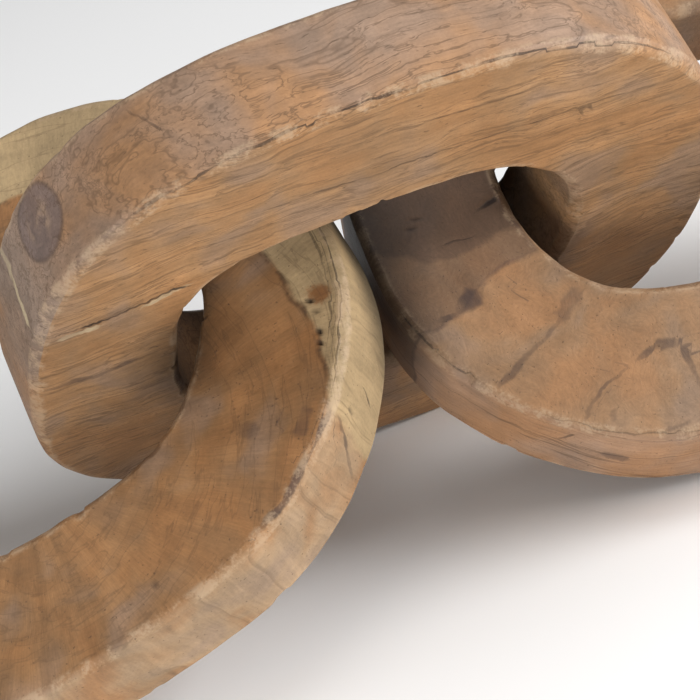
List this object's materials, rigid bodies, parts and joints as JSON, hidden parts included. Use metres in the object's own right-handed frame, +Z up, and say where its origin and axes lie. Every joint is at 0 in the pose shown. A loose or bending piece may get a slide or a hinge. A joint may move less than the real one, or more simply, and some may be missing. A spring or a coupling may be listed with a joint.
{
  "type": "carved wooden chain",
  "caption": "Chunky hand-carved wooden chain of interlocked oval rings in oiled brown wood, laid down as a table decoration.",
  "frame": {"origin": "on the table, under the middle of the chain's bounding box", "axes": "+X along the chain towards the right link, +Y away from the viewer, +Z up from the table"},
  "size_m": [0.452, 0.2016, 0.1767],
  "materials": {
    "left_wood": "oiled",
    "centre_wood": "oiled",
    "right_wood": "oiled"
  },
  "bodies": {
    "root": {"left_link": "left_wood", "centre_link": "centre_wood", "right_link": "right_wood"}
  },
  "joints": []
}
